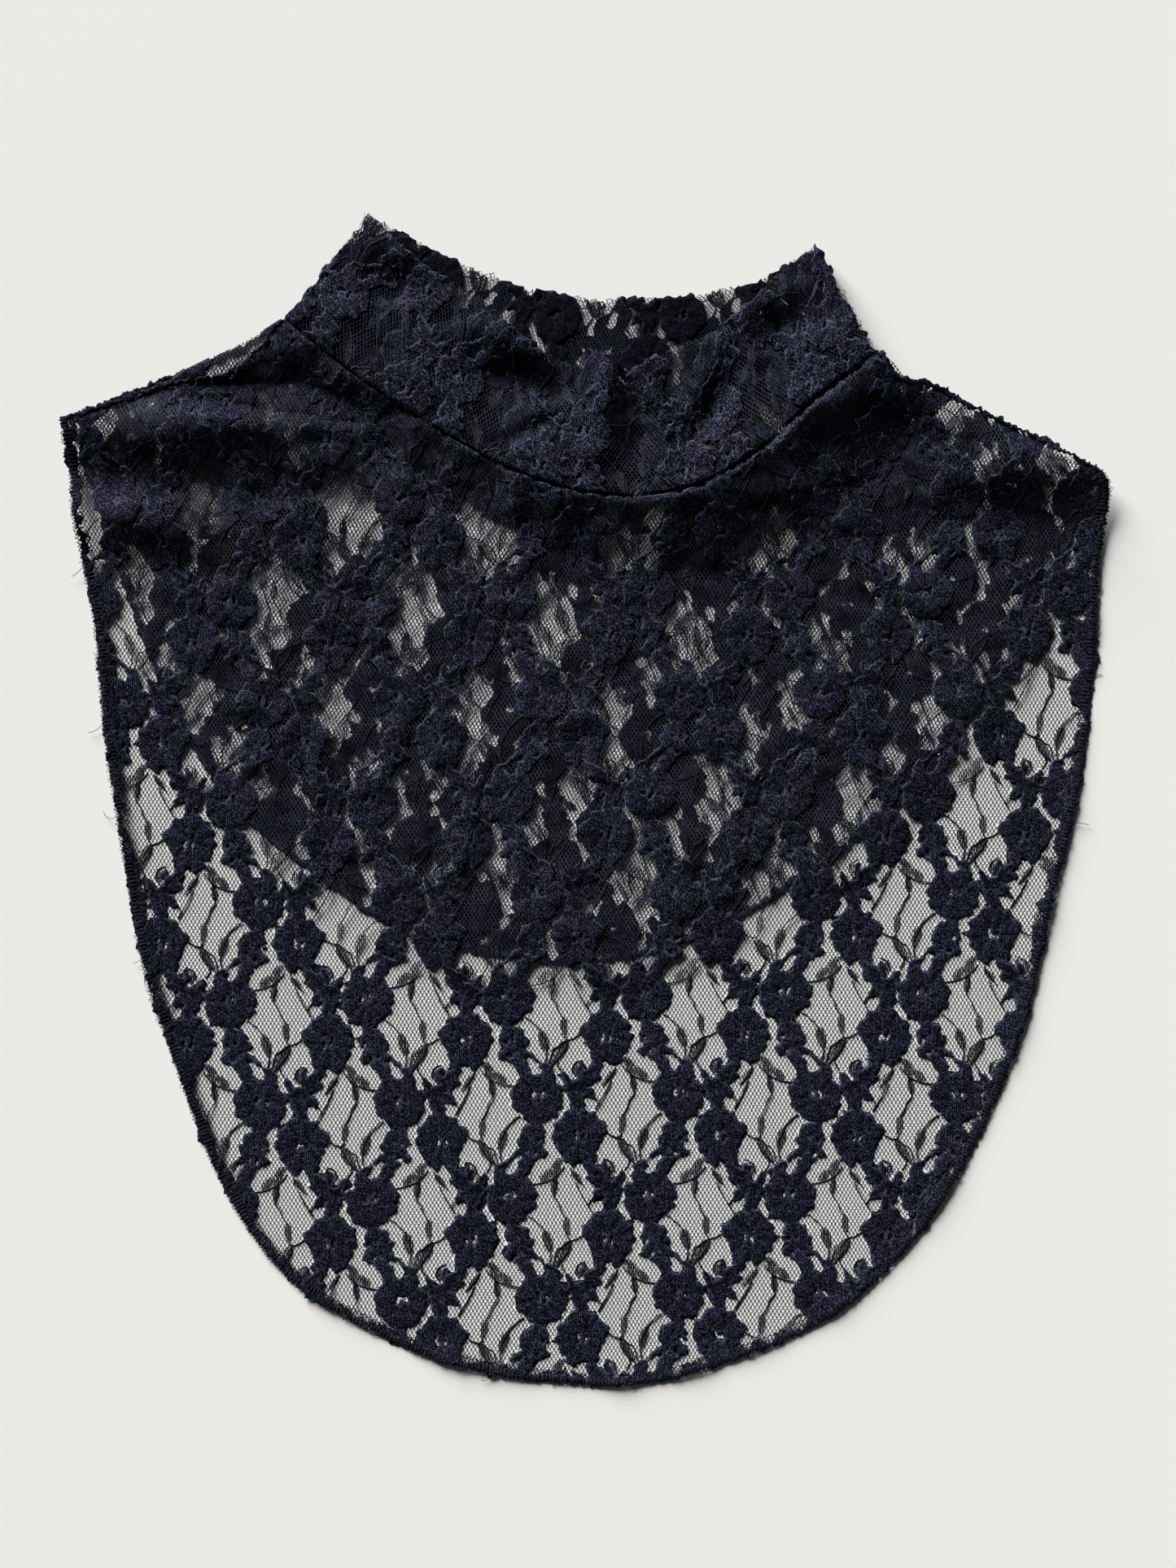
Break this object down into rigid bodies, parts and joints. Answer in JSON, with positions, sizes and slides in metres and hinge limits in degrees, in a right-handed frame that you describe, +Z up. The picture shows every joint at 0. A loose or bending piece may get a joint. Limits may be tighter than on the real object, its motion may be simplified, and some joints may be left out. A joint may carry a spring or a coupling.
{
  "type": "lace dickey",
  "caption": "Sleeveless lace dickey lying flat, front up: long rounded front panel over a shorter back panel, with a folded double mock neck collar and overlocked edges.",
  "frame": {"origin": "on the table, below the middle of the garment's box", "axes": "+X to the right as seen from above, +Y from the hem to the collar, +Z up from the table"},
  "size_m": [0.358, 0.4034, 0.0075],
  "materials": {
    "lace": "matt navy stretch lace: fine hexagonal net with ribbed flower and leaf motifs",
    "edging": "overlocked thread edge, slightly fuzzy"
  },
  "bodies": {
    "root": {"back_panel": "lace", "front_panel": "lace", "collar_back": "lace", "collar_front": "lace"}
  },
  "joints": []
}
